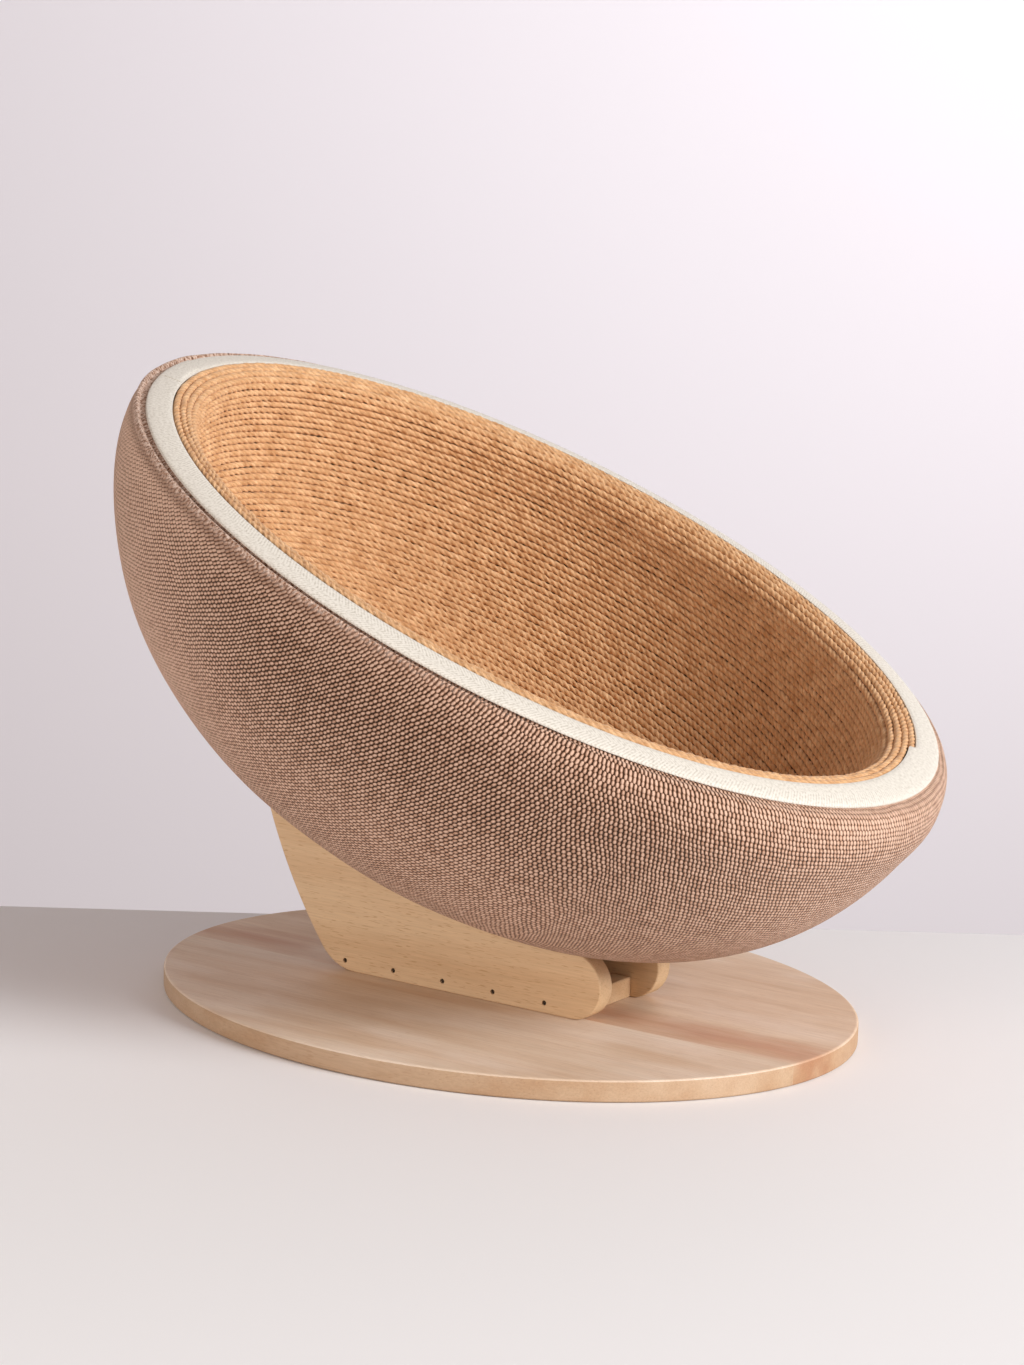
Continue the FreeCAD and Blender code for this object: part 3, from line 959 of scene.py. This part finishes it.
@dataclass
class KnitSleeve:
    """Knit cover pulled over the bowl from below, its edge rolled in beside the tape.

    Humps named down are in millimetres below the hem, those named round in degrees from +X,
    and those named off in millimetres outside the tape's outer edge.
    """

    form: BowlForm
    yarn: KnitYarn
    line: TapeLine
    stitch_mm: float = 2.35
    row_mm: float = 2.6
    thickness_mm: float = 2.0
    steps_round: int = 288
    steps_up: int = 64
    steps_over: int = 44
    hem_angle: float = 86.0
    hem_in_mm: float = 7.5
    hem_rise_mm: float = 2.8
    seam_turn: float = 140.0 / 360.0
    bias_turn: float = -45.0 / 360.0
    bias: float = 0.55
    bias_steps: int = 720
    sag_mm: float = 0.8
    sag_scale: float = 0.013
    sag_offset: tuple[float, float, float] = (3.1, 0.4, 1.7)
    even_pole_mm: float = 40.0
    even_hem_mm: float = 12.0
    even_over_mm: float = 20.0
    puff_mm: float = 2.6
    puff_down: Hump = Hump(30.0, 27.0)
    puff_round: Hump = Hump(-8.0, 60.0)
    slack_mm: float = 1.8
    slack_down: Hump = Hump(7.5, 6.0)
    slack_round: Hump = Hump(-168.0, 65.0)
    slack_wave: float = 0.5
    slack_scale: float = 0.05
    hem_mm: float = 25.0
    roll_mm: float = 1.3
    roll_off: Hump = Hump(2.3, 1.9)
    groove_mm: float = 1.4
    groove_off: Hump = Hump(-0.2, 1.2)
    flat_round: Hump = Hump(0.0, 80.0)
    flat_share: float = 0.8

    def cloth_edge(self) -> np.ndarray:
        """Line that the rim draws on the flat knit before it is pulled round the bowl.

        The knit was cut as one sheet. From the seam round to the low front its rows follow the
        rim; further round they turn away from it, so the rim's line bends on the sheet.

        Returns:
            Turn, place along and across the sheet, and the bend so far, for each step.
        """
        turns = np.linspace(self.seam_turn - 1.0, self.seam_turn, self.bias_steps + 1)
        angles = FULL_TURN * turns
        outside = self.form.outside
        steps = np.hypot(outside.half_length * np.sin(angles), outside.half_width * np.cos(angles))
        steps *= FULL_TURN / self.bias_steps
        bend = self.bias * np.maximum(FULL_TURN * (self.bias_turn - turns), 0.0)
        along, across = np.cumsum(np.cos(bend) * steps), np.cumsum(np.sin(bend) * steps)
        return np.array([turns, along, across, bend])

    def run(self) -> list[Section]:
        """Outside of the sleeve from the pole up to its rolled edge under the tape.

        Returns:
            The sections.
        """
        belly = even_run(self.form.outside.section, 90.0, self.steps_up)
        lip = even_run(
            lambda angle: self.form.rim(angle, 0.0, self.hem_in_mm, self.hem_rise_mm),
            self.hem_angle, self.steps_over)
        return belly + lip[1:]

    def build(self) -> None:
        """Builds and dresses the sleeve."""
        run = self.run()
        fars = distances([section[1:] for section in run])
        widths = [section[1] for section in run]
        length = float(fars[-1])
        edge = self.cloth_edge()

        def stitches(turn: float, far: float) -> tuple[float, float]:
            """Stitch and row on the sheet.

            Args:
                turn: Place round the bowl.
                far: Distance from the pole.

            Returns:
                Number of the stitch and of the row.
            """
            along, across, bend = (float(np.interp(turn, edge[0], edge[k])) for k in (1, 2, 3))
            down = length - far
            return (
                (along + down * math.sin(bend)) / self.stitch_mm,
                (across - down * math.cos(bend)) / self.row_mm,
            )

        def uneven(point: Vector, far: float) -> Vector:
            """Hand-made unevenness: a full low end, a rolled edge, and slack beside the tape at the high end.

            Args:
                point: Point of the even sleeve.
                far: Distance from the pole.

            Returns:
                The moved point.
            """
            angle = math.degrees(math.atan2(point.y, point.x))
            down = length - far
            outwards = Vector((point.x, point.y, 0.0)).normalized() if far > 1.0 else Vector()
            fade = min(1.0, far / self.even_pole_mm, max(0.0, (down - self.even_hem_mm) / self.even_over_mm))
            sag = noise.noise(point * self.sag_scale + Vector(self.sag_offset)) * self.sag_mm * fade
            moved = point + point.normalized() * sag
            full = self.puff_down.at(down) * self.puff_round.around(angle)
            moved += outwards * (self.puff_mm * full)
            slack = self.slack_round.around(angle)
            wave = 1.0 + self.slack_wave * noise.noise(point * self.slack_scale)
            moved += outwards * (self.slack_mm * slack * self.slack_down.at(down) * wave)
            if down < self.hem_mm:
                off = float(np.interp(far, fars, widths)) - self.line.outer_half_width
                share = 1.0 - self.flat_share * self.flat_round.at(angle)
                moved.z += share * self.roll_mm * self.roll_off.at(off)
                moved.z -= share * self.groove_mm * self.groove_off.at(off)
            return moved

        mesh = oval_spin(
            self.form, "knit_sleeve", run, self.steps_round, False,
            {"stitches": stitches, "hem": lambda turn, far: (turn, length - far)}, uneven,
            cut_turn=self.seam_turn)
        piece = new_piece(mesh, Body.BOWL, self.yarn.material())
        wall = piece.modifiers.new("wall", "SOLIDIFY")
        wall.thickness = metres(self.thickness_mm)
        wall.offset = -1.0
        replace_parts(piece, "knit_cover")


@dataclass
class RimTape:
    """Flat tape round the rim over the sleeve's edge, its ends lapped at the high back."""

    form: BowlForm
    cotton: CottonTape
    line: TapeLine
    start: RopeStart
    rise_mm: float = 2.6
    thickness_mm: float = 1.2
    crown_mm: float = 0.5
    edge_drop: float = 0.25
    across: tuple[float, ...] = (0.0, 0.04, 0.2, 0.4, 0.6, 0.8, 0.96, 1.0)
    steps_round: int = 360
    edge_degrees: float = 50.0
    widening_rise_mm: float = 0.5
    lap_turn: float = -172.0 / 360.0
    lap_turns: float = 0.04
    lap_steps: int = 24
    lap_mm: float = 0.6
    lap_over_mm: float = 0.9
    lap_sink: float = 0.9
    lap_slant: float = 0.05
    lap_shift_mm: float = 3.7

    def run(self, raise_top: float, raise_under: float) -> list[Section]:
        """Closed run round the tape's cross-section, from its outer edge.

        Args:
            raise_top: Height added to the upper face.
            raise_under: Height added to the lower face.

        Returns:
            The sections.
        """
        spread = self.line.outer_half_length - self.line.outer_half_width
        points = []
        for top in (True, False):
            for share in self.across if top else self.across[::-1]:
                wide = self.line.outer_half_width - self.line.width * share
                height = self.rise_mm * share
                if top:
                    height += raise_top + self.crown_mm * (1.0 - (2.0 * share - 1.0) ** 4)
                    height -= self.edge_drop * self.thickness_mm if share in (0.0, 1.0) else 0.0
                else:
                    height += raise_under - self.thickness_mm
                points.append((wide + spread, wide, height))
        return points

    def place_on(self, point: Vector) -> tuple[float, float]:
        """Where a point of the oval lies on the tape.

        Args:
            point: The point.

        Returns:
            Turn of the oval, and share of the width from the outer edge.
        """
        half_x, half_y = self.line.outer_half_length, self.line.outer_half_width
        angle = math.atan2(point.y / half_y, point.x / half_x)
        edge = math.hypot(half_x * math.cos(angle), half_y * math.sin(angle))
        return angle / FULL_TURN, (edge - math.hypot(point.x, point.y)) / self.line.width

    def widened(self, point: Vector, _far: float) -> Vector:
        """Moves the inner edge in where the rope's row moves over, up to its start.

        Args:
            point: Point of the even tape.
            _far: Distance along the run, which changes nothing here.

        Returns:
            The moved point.
        """
        turn, share = self.place_on(point)
        over = self.start.drift((turn - self.start.turn) % 1.0) * share
        inwards = Vector((point.x, point.y, 0.0)).normalized() * (self.start.pitch * over)
        return point - inwards + Vector((0.0, 0.0, self.widening_rise_mm * over))

    def lapped(self, point: Vector, _far: float) -> Vector:
        """Slants the lap's open end and lets its other end sink into the tape.

        Args:
            point: Point of the straight lap.
            _far: Distance along the run, which changes nothing here.

        Returns:
            The moved point.
        """
        turn = math.atan2(point.y, point.x) / FULL_TURN
        gone = (turn - self.lap_turn) % 1.0 / self.lap_turns
        slant = self.lap_slant * self.place_on(point)[1] * max(1.0 - gone, 0.0)
        turned = Matrix.Rotation(slant, 3, "Z") @ point
        return turned - Vector((0.0, 0.0, self.lap_sink * self.lap_mm * gone))

    def build(self) -> None:
        """Builds and dresses the tape and its lapped end."""
        around = math.pi * (self.line.outer_half_length + self.line.outer_half_width)
        material = self.cotton.material(self.line.width)
        mesh = oval_spin(
            self.form, "rim_tape", self.run(0.0, 0.0), self.steps_round, True,
            {"tape": lambda turn, far: (turn * around, far)}, self.widened)
        mesh.set_sharp_from_angle(angle=math.radians(self.edge_degrees))
        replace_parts(new_piece(mesh, Body.BOWL, material), "rim_band")
        mesh = oval_spin(
            self.form, "rim_tape_lap", self.run(self.lap_mm, self.lap_over_mm), self.lap_steps, True,
            {"tape": lambda turn, far: (turn * around + self.lap_shift_mm, far)}, self.lapped,
            self.lap_turn, self.lap_turns)
        mesh.set_sharp_from_angle(angle=math.radians(self.edge_degrees))
        new_piece(mesh, Body.BOWL, material)


@dataclass
class RopeWinding:
    """Rope wound row beside row from the tape over the rim and down to the middle of the bowl.

    The first rows keep beside the tape and move over once in each turn. Further in the rows
    spiral evenly, and over the bottom they straighten to two runs with half-round ends.
    """

    form: BowlForm
    jute: JuteRope
    line: TapeLine
    start: RopeStart
    diameter_mm: float = 4.35
    top_mm: float = 3.4
    under_tape_mm: float = 2.8
    beside_tape: float = 0.75
    rim_steps: int = 180
    wall_steps: int = 360
    lay_mm: float = 15.0
    strand_depth: float = 0.13
    lump_mm: float = 4.0
    lumpy: float = 0.07
    lumpy_depth: float = 0.4
    lump_limit: float = 2.0
    lump_places: int = 20000
    lump_seed: int = 5
    sides: int = 12
    reach_mm: float = 22.0
    fewest_steps: int = 16
    spans: int = 13
    even_after_turns: float = 15.0
    wander_mm: float = 0.55
    stray_mm: float = 0.45
    stray_finer: float = 2.3
    stray_offset: tuple[float, float, float] = (5.0, 1.0, 7.0)
    stray_from_mm: float = 60.0
    wave_round: float = 4.0
    wave_row: float = 0.45
    calm_turns: float = 4.0
    straight_from: float = 0.55
    straight_over: float = 0.35
    last_half_width: float = 0.05
    pieces: int = 6

    def slope(self) -> tuple[np.ndarray, np.ndarray]:
        """Run of the rope's middle at the bowl's side and at its end.

        Returns:
            Distance, half axis and height for each place at the side, and the same at the end.
        """
        radius = self.diameter_mm / 2
        rise = self.top_mm - radius + self.form.core_top_drop
        inside_tape = self.line.width + self.beside_tape * radius
        wide_start = self.line.outer_half_width - inside_tape
        long_start = self.line.outer_half_length - inside_tape
        over = [
            self.form.rim(angle, rise - self.under_tape_mm, radius, rise)
            for angle in np.linspace(90.0, 180.0, self.rim_steps + 1)
        ]
        sections = [section for section in over if section[1] <= wide_start and section[0] <= long_start]
        down = np.linspace(90.0, 0.0, self.wall_steps + 1)[1:]
        sections += [self.form.inside.section(angle, radius) for angle in down]
        tables = []
        for axis in (1, 0):
            places = [(section[axis], section[2]) for section in sections]
            tables.append(np.array([distances(places), *zip(*places)]))
        return tables[0], tables[1]

    def distance_in(self, turn: float) -> float:
        """Distance from the tape after some turns.

        Args:
            turn: Turns from the rope's start.

        Returns:
            Distance in millimetres.
        """
        stepped = math.floor(turn) + self.start.drift(turn % 1.0)
        share = max(0.0, 1.0 - turn / self.even_after_turns)
        return self.start.pitch * (turn + share * (stepped - turn))

    def route(self) -> tuple[list[Vector], list[float]]:
        """Middle line of the rope, from the tape to the bowl's middle.

        Returns:
            Control points, and the distance along the rope at each.
        """
        side, end = self.slope()
        whole = float(np.interp(-self.last_half_width, -side[1], side[0]))
        # The winding ends on the bowl's long axis.
        last_turn = round(2.0 * (whole / self.start.pitch + self.start.turn)) / 2.0 - self.start.turn
        left_over = whole - self.start.pitch * last_turn
        points, far = [], [0.0]
        turn = 0.0
        while True:
            angle = FULL_TURN * (turn + self.start.turn)
            spot = Vector((
                self.wave_round * math.cos(angle), self.wave_round * math.sin(angle), self.wave_row * turn))
            calm = min(1.0, turn / self.calm_turns, (last_turn - turn) / self.calm_turns)
            closing = left_over * max(0.0, 1.0 - (last_turn - turn) / self.even_after_turns)
            inward = self.distance_in(turn) + closing + self.wander_mm * calm * noise.noise(spot)
            stray = noise.noise(spot * self.stray_finer + Vector(self.stray_offset))
            half_y, z_side = (float(np.interp(inward, side[0], side[k])) for k in (1, 2))
            half_x, z_end = (float(np.interp(inward, end[0], end[k])) for k in (1, 2))
            flat = Vector((half_x * math.cos(angle), half_y * math.sin(angle)))
            z = z_end * math.cos(angle) ** 2 + z_side * math.sin(angle) ** 2
            share = smooth_step((inward / whole - self.straight_from) / self.straight_over)
            if share > 0.0:
                around = (turn + self.start.turn) % 1.0
                flat = flat.lerp(self.racetrack(around, half_x - half_y, half_y), share)
                z += (self.form.inside.height(flat.x, flat.y, self.diameter_mm / 2) - z) * share
            flat *= 1.0 + self.stray_mm * calm * stray / max(flat.length, self.stray_from_mm)
            points.append(Vector((flat.x, flat.y, z)))
            if len(points) > 1:
                far.append(far[-1] + (points[-1] - points[-2]).length)
            if turn >= last_turn:
                break
            step = self.reach_mm / (FULL_TURN * math.sqrt((half_x ** 2 + half_y ** 2) / 2.0))
            turn = min(last_turn, turn + min(1.0 / self.fewest_steps, step))
        log.info("rope %.1f m in %.1f rows", metres(far[-1]), turn)
        return points, far

    @staticmethod
    def racetrack(turn: float, half_run: float, radius: float) -> Vector:
        """Place on an oval of two straight runs and two half circles.

        Args:
            turn: Share of the way round, from the end on +X.
            half_run: Half of a straight run.
            radius: Radius of the half circles.

        Returns:
            The place in plan.
        """
        quarter = math.pi * radius / 2
        half_way = 2.0 * (quarter + half_run)
        far = turn * 2.0 * half_way
        way = 1.0 if far < half_way else -1.0
        far %= half_way
        past = far - quarter - 2.0 * half_run
        if far < quarter:
            angle = far / radius
            place = Vector((half_run + radius * math.cos(angle), radius * math.sin(angle)))
        elif past < 0.0:
            place = Vector((half_run - (far - quarter), radius))
        else:
            angle = past / radius
            place = Vector((-half_run - radius * math.sin(angle), radius * math.cos(angle)))
        return place * way

    def tube(self, name: str, points: Sequence[Vector]) -> bpy.types.Mesh:
        """Round tube along a smooth line.

        Args:
            name: Name of the mesh.
            points: Control points of the line, in the bowl's millimetres.

        Returns:
            The mesh, ring after ring, with its UV map.
        """
        placing = self.form.placing()
        curve = bpy.data.curves.new(name, "CURVE")
        curve.dimensions = "3D"
        line = curve.splines.new("NURBS")
        line.points.add(len(points) - 1)
        for point, place in zip(line.points, points):
            point.co = (*(placing @ place), 1.0)
        line.order_u = 3
        line.use_endpoint_u = True
        line.resolution_u = self.spans
        curve.twist_mode = "Z_UP"
        curve.bevel_mode = "ROUND"
        curve.bevel_depth = metres(self.diameter_mm / 2)
        curve.bevel_resolution = (self.sides - 4) // 2
        guide = new_object(name, curve)
        shown = guide.evaluated_get(bpy.context.evaluated_depsgraph_get())
        mesh = bpy.data.meshes.new_from_object(shown)
        bpy.data.objects.remove(guide)
        bpy.data.curves.remove(curve)
        mesh.name = name
        return mesh

    def lay_strands(self, mesh: bpy.types.Mesh, first_mm: float) -> float:
        """Turns the round tube's rings step by step and presses furrows between strands, a little unevenly.

        Args:
            mesh: Round tube.
            first_mm: Length of rope before this one.

        Returns:
            Length of rope up to this one's end.
        """
        flat = np.empty(3 * len(mesh.vertices), dtype=np.float32)
        mesh.vertices.foreach_get("co", flat)
        rings = flat.reshape(-1, self.sides, 3)
        middle = rings.mean(axis=1, keepdims=True)
        quarter = self.sides // 4
        one, other = rings[:, :1] - middle, rings[:, quarter:quarter + 1] - middle
        steps = np.linalg.norm(np.diff(middle[:, 0], axis=0), axis=1)
        run = first_mm + MM_IN_M * np.concatenate([[0.0], np.cumsum(steps)])
        around = FULL_TURN * np.arange(self.sides) / self.sides
        places = self.lump_mm * np.arange(self.lump_places)
        lumps = np.random.default_rng(self.lump_seed).standard_normal((2, self.lump_places))
        lumps = lumps.clip(-self.lump_limit, self.lump_limit)
        girth = 1.0 + self.lumpy * np.interp(run, places, lumps[0])
        depth = self.strand_depth * (1.0 + self.lumpy_depth * np.interp(run, places, lumps[1]))
        swell = girth[:, None] * (1.0 - depth[:, None] * (1.0 - np.cos(self.jute.strands * around)))
        turned = (around[None, :] + FULL_TURN * run[:, None] / self.lay_mm)[..., None]
        rings = middle + swell[..., None] * (np.cos(turned) * one + np.sin(turned) * other)
        mesh.vertices.foreach_set("co", rings.astype(np.float32).ravel())
        layer = mesh.uv_layers[0]
        layer.name = "rope"
        corners = np.empty(len(mesh.loops), dtype=np.int32)
        mesh.loops.foreach_get("vertex_index", corners)
        spots = np.empty(2 * len(mesh.loops), dtype=np.float32)
        layer.data.foreach_get("uv", spots)
        spots[0::2] = run[corners // self.sides]
        layer.data.foreach_set("uv", spots)
        return float(run[-1])

    @staticmethod
    def close_ends(mesh: bpy.types.Mesh) -> None:
        """Closes both ends of a length of rope with a flat face.

        Args:
            mesh: The length of rope.
        """
        shape = bmesh.new()
        shape.from_mesh(mesh)
        ends = bmesh.ops.holes_fill(shape, edges=[edge for edge in shape.edges if edge.is_boundary])
        for face in ends["faces"]:
            face.smooth = False
        bmesh.ops.recalc_face_normals(shape, faces=shape.faces)
        shape.to_mesh(mesh)
        shape.free()

    def build(self) -> None:
        """Builds the rope as a few lengths that follow each other, and dresses it."""
        points, far = self.route()
        material = self.jute.material()
        cuts = [round(place) for place in np.interp(
            np.linspace(0.0, far[-1], self.pieces + 1), far, range(len(points)))]
        start, done_mm = points[0], 0.0
        for number, (first, last) in enumerate(zip(cuts, cuts[1:]), 1):
            line = [start, *points[first + 1:last + 1]]
            if number < self.pieces:
                start = points[last].lerp(points[last + 1], 0.5)
                line.append(start)
            mesh = self.tube("jute_rope_%d" % number, line)
            done_mm = self.lay_strands(mesh, done_mm)
            mesh.shade_smooth()
            self.close_ends(mesh)
            piece = new_piece(mesh, Body.BOWL, material)
            if number == 1:
                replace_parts(piece, "rope_wall")
            if number == self.pieces:
                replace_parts(piece, "rope_floor")


@dataclass
class PhotoCamera:
    """Camera at the photograph's place, for an image of 1024 by 1365."""

    place_mm: tuple[float, float, float] = (949.5, -1356.8, 467.3)
    yaw: float = 34.95
    pitch: float = 9.54
    roll: float = -1.42
    focal_px: float = 2949.0
    image_height_px: float = 1365.0
    sensor_mm: float = 36.0
    sight_m: float = 50.0

    def axes(self) -> tuple[Vector, Vector, Vector]:
        """Directions of the camera in the frame.

        Returns:
            Its right, up and back.
        """
        yaw, pitch, roll = (math.radians(a) for a in (self.yaw, self.pitch, self.roll))
        forward = Vector((
            -math.sin(yaw) * math.cos(pitch), math.cos(yaw) * math.cos(pitch), -math.sin(pitch)))
        level = forward.cross(Vector((0.0, 0.0, 1.0))).normalized()
        down = forward.cross(level)
        right = level * math.cos(roll) + down * math.sin(roll)
        below = down * math.cos(roll) - level * math.sin(roll)
        return right, -below, -forward

    def build(self) -> None:
        """Builds the camera and makes it the scene's."""
        data = bpy.data.cameras.new("photo_camera")
        data.sensor_fit = "AUTO"
        data.sensor_width = self.sensor_mm
        data.lens = self.sensor_mm * self.focal_px / self.image_height_px
        data.clip_end = self.sight_m
        camera = new_object("photo_camera", data)
        turn = Matrix(self.axes()).transposed().to_4x4()
        camera.matrix_world = Matrix.Translation([metres(v) for v in self.place_mm]) @ turn
        bpy.context.scene.camera = camera


@dataclass(frozen=True)
class Lamp:
    """Square lamp, placed from what it lights by shares of the way right, to the front and up."""

    name: str
    right: float
    front: float
    up: float
    distance_m: float
    size_m: float
    watts: float
    tone: str

    def build(self, aim: Vector, axes: tuple[Vector, Vector, Vector]) -> None:
        """Builds the lamp.

        Args:
            aim: Place that it looks at.
            axes: Directions to the right, to the front and up.
        """
        data = bpy.data.lights.new(self.name, "AREA")
        data.shape = "SQUARE"
        data.size = self.size_m
        data.energy = self.watts
        data.color = linear(self.tone)[:3]
        way = axes[0] * self.right + axes[1] * self.front + axes[2] * self.up
        lamp = new_object(self.name, data)
        lamp.location = aim + way.normalized() * self.distance_m
        lamp.rotation_euler = way.to_track_quat("Z", "Y").to_euler()


@dataclass
class Studio:
    """Plain pale table and wall, with soft light from the right and from the front; sizes in metres."""

    camera: PhotoCamera
    table_tone: str = "EFEFF1"
    table_left: tuple[float, float, float] = (-0.149, 0.138, -0.0002)
    table_right: tuple[float, float, float] = (0.164, 0.350, -0.0002)
    table_beyond: float = 3.0
    table_depth: float = 4.0
    wall_tone: str = "F1EEF4"
    wall_behind: float = 3.2
    wall_half_width: float = 5.0
    wall_bottom: float = -3.0
    wall_top: float = 4.0
    bed_height: float = 0.19
    key: Lamp = Lamp("key", 0.85, 0.55, 0.44, distance_m=4.0, size_m=1.4, watts=176.0, tone="FFFFFF")
    fill: Lamp = Lamp("fill", -0.6, 0.8, 0.12, distance_m=2.4, size_m=1.4, watts=23.0, tone="FFF3EA")
    wash: Lamp = Lamp("wash", 0.5, 0.9, 0.2, distance_m=1.9, size_m=1.8, watts=20.0, tone="F8F8FF")
    wash_right: float = 0.2
    wash_height: float = 0.8
    room_tone: str = "FFEEE5"
    room_light: float = 0.32
    seen_light: float = 0.8

    def sheet(self, name: str, corners: Sequence[Sequence[float]], tone: str) -> None:
        """Adds one flat sheet of the surroundings.

        Args:
            name: Name of the sheet.
            corners: Its corners in metres, in order.
            tone: Hex colour.
        """
        shape = bmesh.new()
        shape.faces.new([shape.verts.new(corner) for corner in corners])
        mesh = to_mesh(shape, name)
        paint = PlainFinish(name + "_paint", tone, tone, mottle_mm=60.0, metallic=0.0, roughness=0.9)
        mesh.materials.append(paint.material())
        sheet = new_object(name, mesh)

    def light_room(self) -> None:
        """Lights the room evenly; the camera itself sees a pale wall where no sheet stands."""
        world = bpy.data.worlds.new("room")
        world.use_nodes = True
        tree = world.node_tree
        room = tree.nodes["Background"]
        room.inputs["Color"].default_value = linear(self.room_tone)
        room.inputs["Strength"].default_value = self.room_light
        seen = add_node(tree, "Background", linear(self.wall_tone), self.seen_light)
        looking = add_node(tree, "LightPath", output="Is Camera Ray")
        mixed = add_node(tree, "MixShader", looking, room.outputs["Background"], seen)
        tree.links.new(mixed, tree.nodes["World Output"].inputs["Surface"])
        bpy.context.scene.world = world

    def build(self) -> None:
        """Builds table, wall, lamps and room light."""
        right, _, back = self.camera.axes()
        front = Vector((back.x, back.y, 0.0)).normalized()
        aside = Vector((right.x, right.y, 0.0)).normalized()
        lift = Vector((0.0, 0.0, 1.0))
        left_end, right_end = Vector(self.table_left), Vector(self.table_right)
        beyond = (right_end - left_end).normalized() * self.table_beyond
        far_left, far_right, depth = left_end - beyond, right_end + beyond, front * self.table_depth
        self.sheet("table", [far_left, far_left + depth, far_right + depth, far_right], self.table_tone)
        wall, half = -front * self.wall_behind, aside * self.wall_half_width
        low, high = lift * self.wall_bottom, lift * self.wall_top
        self.sheet(
            "wall", [wall - half + low, wall + half + low, wall + half + high, wall - half + high],
            self.wall_tone)
        axes = (aside, front, lift)
        self.key.build(lift * self.bed_height, axes)
        self.fill.build(lift * self.bed_height, axes)
        self.wash.build(wall + aside * self.wash_right + lift * self.wash_height, axes)
        self.light_room()
        bpy.context.scene.view_settings.view_transform = "Standard"


def main() -> None:
    """Builds all pieces in order."""
    logging.basicConfig(level=logging.INFO, format="%(name)s: %(message)s")
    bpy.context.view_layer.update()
    camera = PhotoCamera()
    camera.build()
    form = BowlForm()
    line = TapeLine()
    start = RopeStart()
    BaseBoard(
        near_wood=BoardWood(
            "rubberwood_pale", "E6D2BC", "DABEA2", "B8926C", seed=0.3, pore_share=0.25, bleach_share=0.6,
            shaded_edge_below_mm=11.2),
        far_wood=BoardWood(
            "rubberwood_warm", "E1C6AA", "D4B292", "B18763", seed=1.9, pore_share=0.25, bleach_share=0.45,
            shaded_edge_below_mm=11.2, blush="C58F70", blush_middle_y_mm=-14.0),
    ).build()
    Cradle(
        side_wood=BoardWood("rubberwood_side", "EACDA6", "DFBD94", "B0814F", seed=4.1),
        floor_wood=BoardWood("rubberwood_floor", "DDBB94", "CDA67C", "A07A52", seed=6.7),
        steel=PlainFinish("dull_steel", "5E5248", "40362C", mottle_mm=0.8, metallic=1.0, roughness=0.6),
    ).build()
    felt = PlainFinish("felt_core", "7A5A3C", "644628", mottle_mm=2.0, metallic=0.0, roughness=0.95)
    dress_node("bowl_core", felt.material())
    KnitSleeve(form, KnitYarn("brushed_knit"), line).build()
    RimTape(form, CottonTape("cotton_twill"), line, start).build()
    RopeWinding(form, JuteRope("jute_twine"), line, start).build()
    Studio(camera).build()


if __name__ == "__main__":
    main()
